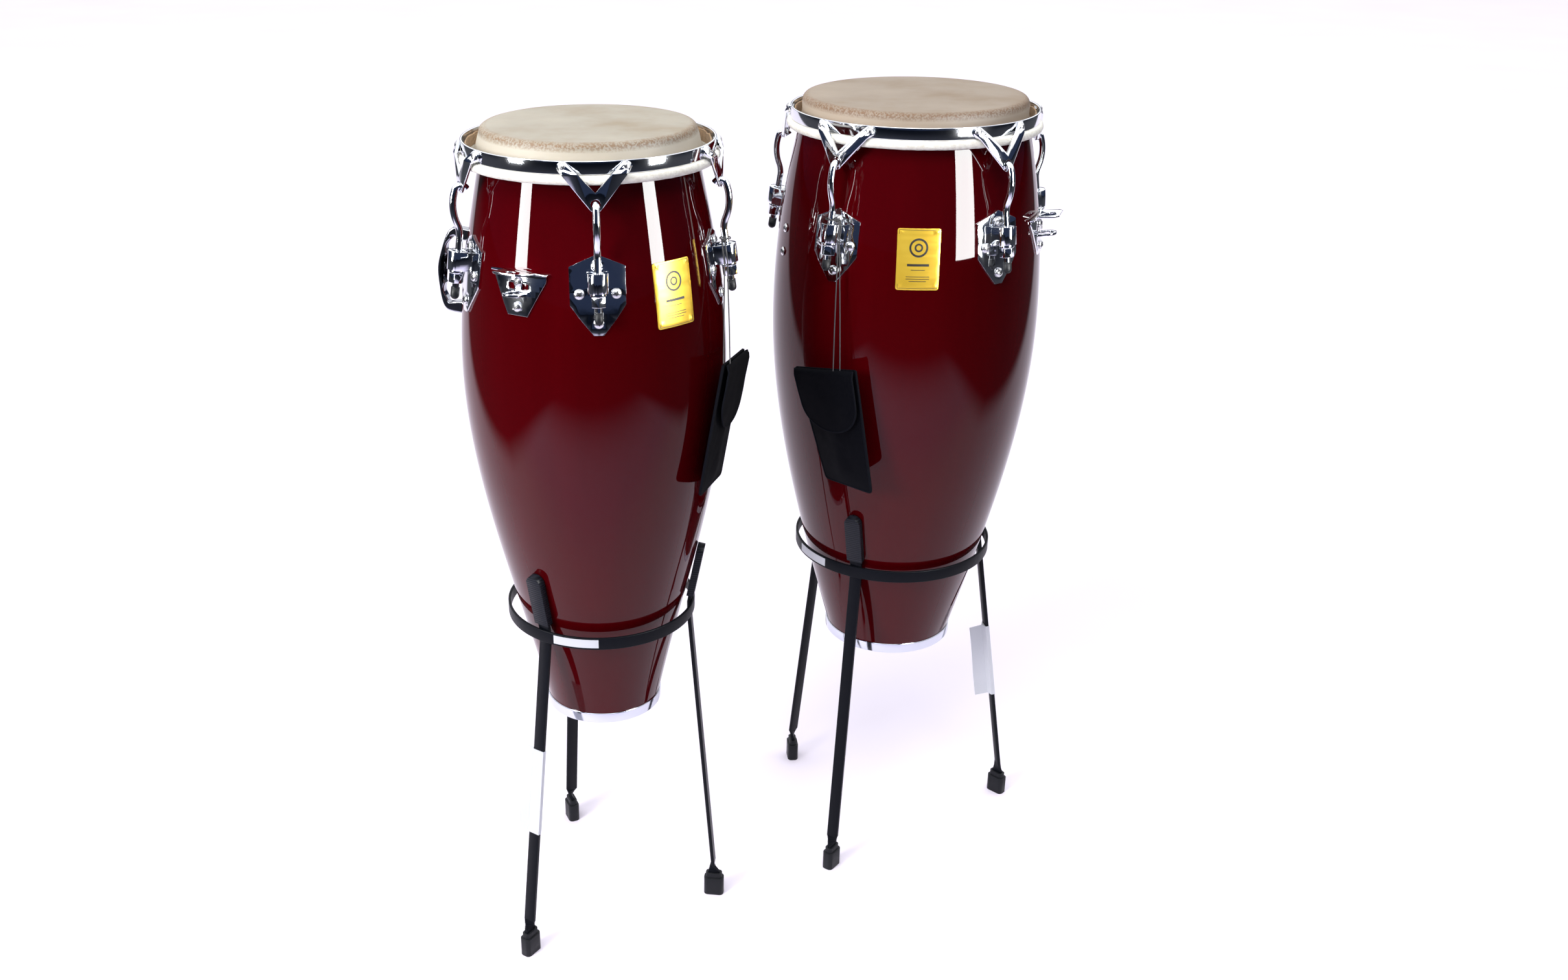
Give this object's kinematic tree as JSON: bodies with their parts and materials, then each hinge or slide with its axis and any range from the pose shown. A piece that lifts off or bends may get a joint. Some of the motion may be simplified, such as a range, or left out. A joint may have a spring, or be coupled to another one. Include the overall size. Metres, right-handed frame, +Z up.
{
  "type": "conga drums",
  "caption": "Tall barrel-shaped hand drums in deep wine red with tunable rawhide heads, on black basket stands, with hanging tool pouches.",
  "frame": {"origin": "centre of the bounding box on the floor under the six feet", "axes": "+Z up along the drums, +Y from the front of the pair to its back, +X from the small drum to the large drum"},
  "size_m": [0.845, 0.5986, 1.1361],
  "materials": {
    "lacquered_shell": "high-gloss wine-red lacquer over staved wood",
    "chrome": "polished",
    "dark_chrome": "polished, darker",
    "steel": "zinc plated, satin",
    "rawhide": "natural rawhide, slightly mottled",
    "gold_plate": "satin gold plate",
    "nylon": "black woven nylon with bound edges",
    "cord": "thin waxed cord",
    "black_paint": "satin black powder coat",
    "black_rubber": "matt, fine ribs"
  },
  "bodies": {
    "quinto_basket_stand": {"quinto_stand_ring": "black_paint", "quinto_stand_legs": "black_paint", "quinto_leg_sleeves": "black_rubber", "quinto_leg_feet": "black_rubber"},
    "quinto_drum": {"quinto_shell": "lacquered_shell", "quinto_base_band": "chrome", "quinto_side_plates": "chrome", "quinto_shell_bolts": "steel", "quinto_backing_plates": "steel", "quinto_lug_washers": "chrome", "quinto_mount_bracket": "chrome", "quinto_carry_handle": "dark_chrome", "quinto_badge": "gold_plate"},
    "quinto_collar": {"quinto_head": "rawhide", "quinto_flesh_hoop": "steel", "quinto_rim": "chrome", "quinto_rim_claws": "chrome", "quinto_claw_rivets": "chrome", "quinto_tension_hooks": "chrome", "quinto_hook_tips": "black_rubber"},
    "quinto_nut_1": {"quinto_lug_nut_1": "chrome"},
    "quinto_nut_2": {"quinto_lug_nut_2": "chrome"},
    "quinto_nut_3": {"quinto_lug_nut_3": "chrome"},
    "quinto_nut_4": {"quinto_lug_nut_4": "chrome"},
    "quinto_nut_5": {"quinto_lug_nut_5": "chrome"},
    "quinto_tool_pouch": {"quinto_pouch": "nylon", "quinto_pouch_cord": "cord", "quinto_cord_knot": "cord"},
    "quinto_flap": {"quinto_pouch_flap": "nylon"},
    "conga_basket_stand": {"conga_stand_ring": "black_paint", "conga_stand_legs": "black_paint", "conga_leg_sleeves": "black_rubber", "conga_leg_feet": "black_rubber"},
    "conga_drum": {"conga_shell": "lacquered_shell", "conga_base_band": "chrome", "conga_side_plates": "chrome", "conga_shell_bolts": "steel", "conga_backing_plates": "steel", "conga_lug_washers": "chrome", "conga_mount_bracket": "chrome", "conga_carry_handle": "dark_chrome", "conga_badge": "gold_plate"},
    "conga_collar": {"conga_head": "rawhide", "conga_flesh_hoop": "steel", "conga_rim": "chrome", "conga_rim_claws": "chrome", "conga_claw_rivets": "chrome", "conga_tension_hooks": "chrome", "conga_hook_tips": "black_rubber"},
    "conga_nut_1": {"conga_lug_nut_1": "chrome"},
    "conga_nut_2": {"conga_lug_nut_2": "chrome"},
    "conga_nut_3": {"conga_lug_nut_3": "chrome"},
    "conga_nut_4": {"conga_lug_nut_4": "chrome"},
    "conga_nut_5": {"conga_lug_nut_5": "chrome"},
    "conga_tool_pouch": {"conga_pouch": "nylon", "conga_pouch_cord": "cord", "conga_cord_knot": "cord"},
    "conga_flap": {"conga_pouch_flap": "nylon"}
  },
  "joints": [
    {"name": "quinto_drum_lift", "type": "slide", "parent": "quinto_basket_stand", "child": "quinto_drum", "axis": [0, 0, 1], "range_m": [0, 0.35]},
    {"name": "quinto_tuning", "type": "slide", "parent": "quinto_drum", "child": "quinto_collar", "axis": [0, 0, 1], "range_m": [0, 0.004]},
    {"name": "quinto_nut_turn_1", "type": "hinge", "parent": "quinto_drum", "child": "quinto_nut_1", "pos_m": [-0.19756, -0.28893, 0.96235], "axis": [0.0156, -0.1487, -0.9888], "range_deg": [0, 1150]},
    {"name": "quinto_nut_turn_2", "type": "hinge", "parent": "quinto_drum", "child": "quinto_nut_2", "pos_m": [-0.04346, -0.15018, 0.96235], "axis": [0.1463, -0.0311, -0.9888], "range_deg": [0, 1150]},
    {"name": "quinto_nut_turn_3", "type": "hinge", "parent": "quinto_drum", "child": "quinto_nut_3", "pos_m": [-0.1278, 0.03927, 0.96235], "axis": [0.0748, 0.1295, -0.9888], "range_deg": [0, 1150]},
    {"name": "quinto_nut_turn_4", "type": "hinge", "parent": "quinto_drum", "child": "quinto_nut_4", "pos_m": [-0.33404, 0.01759, 0.96235], "axis": [-0.1001, 0.1111, -0.9888], "range_deg": [0, 1150]},
    {"name": "quinto_nut_turn_5", "type": "hinge", "parent": "quinto_drum", "child": "quinto_nut_5", "pos_m": [-0.37715, -0.18525, 0.96235], "axis": [-0.1366, -0.0608, -0.9888], "range_deg": [0, 1150]},
    {"name": "quinto_pouch_swing", "type": "hinge", "parent": "quinto_drum", "child": "quinto_tool_pouch", "pos_m": [-0.05124, -0.15834, 1.0015], "axis": [-0.2079, -0.9781, 0], "range_deg": [0, 20]},
    {"name": "quinto_flap_hinge", "type": "hinge", "parent": "quinto_tool_pouch", "child": "quinto_flap", "pos_m": [-0.028, -0.18144, 0.85676], "axis": [-0.2741, -0.956, 0.1045], "range_deg": [0, 140]},
    {"name": "conga_stand_placement", "type": "slide", "parent": "quinto_basket_stand", "child": "conga_basket_stand", "axis": [1, 0, 0], "range_m": [0, 0.3]},
    {"name": "conga_drum_lift", "type": "slide", "parent": "conga_basket_stand", "child": "conga_drum", "axis": [0, 0, 1], "range_m": [0, 0.35]},
    {"name": "conga_tuning", "type": "slide", "parent": "conga_drum", "child": "conga_collar", "axis": [0, 0, 1], "range_m": [0, 0.004]},
    {"name": "conga_nut_turn_1", "type": "hinge", "parent": "conga_drum", "child": "conga_nut_1", "pos_m": [0.08511, -0.05826, 0.96235], "axis": [-0.0941, -0.1162, -0.9888], "range_deg": [0, 1150]},
    {"name": "conga_nut_turn_2", "type": "hinge", "parent": "conga_drum", "child": "conga_nut_2", "pos_m": [0.31435, -0.07027, 0.96235], "axis": [0.0814, -0.1254, -0.9888], "range_deg": [0, 1150]},
    {"name": "conga_nut_turn_3", "type": "hinge", "parent": "conga_drum", "child": "conga_nut_3", "pos_m": [0.39662, 0.14404, 0.96235], "axis": [0.1444, 0.0387, -0.9888], "range_deg": [0, 1150]},
    {"name": "conga_nut_turn_4", "type": "hinge", "parent": "conga_drum", "child": "conga_nut_4", "pos_m": [0.21822, 0.28851, 0.96235], "axis": [0.0078, 0.1493, -0.9888], "range_deg": [0, 1150]},
    {"name": "conga_nut_turn_5", "type": "hinge", "parent": "conga_drum", "child": "conga_nut_5", "pos_m": [0.02569, 0.16348, 0.96235], "axis": [-0.1396, 0.0536, -0.9888], "range_deg": [0, 1150]},
    {"name": "conga_pouch_swing", "type": "hinge", "parent": "conga_drum", "child": "conga_tool_pouch", "pos_m": [0.0963, -0.0597, 1.0015], "axis": [-0.7771, 0.6293, 0], "range_deg": [0, 20]},
    {"name": "conga_flap_hinge", "type": "hinge", "parent": "conga_tool_pouch", "child": "conga_flap", "pos_m": [0.07842, -0.07588, 0.80268], "axis": [-0.6489, 0.7464, -0.1478], "range_deg": [0, 140]}
  ],
  "couplings": [
    {"joint": "quinto_nut_turn_2", "follows": "quinto_nut_turn_1", "ratio": 1},
    {"joint": "quinto_nut_turn_3", "follows": "quinto_nut_turn_1", "ratio": 1},
    {"joint": "quinto_nut_turn_4", "follows": "quinto_nut_turn_1", "ratio": 1},
    {"joint": "quinto_nut_turn_5", "follows": "quinto_nut_turn_1", "ratio": 1},
    {"joint": "conga_nut_turn_2", "follows": "conga_nut_turn_1", "ratio": 1},
    {"joint": "conga_nut_turn_3", "follows": "conga_nut_turn_1", "ratio": 1},
    {"joint": "conga_nut_turn_4", "follows": "conga_nut_turn_1", "ratio": 1},
    {"joint": "conga_nut_turn_5", "follows": "conga_nut_turn_1", "ratio": 1}
  ]
}
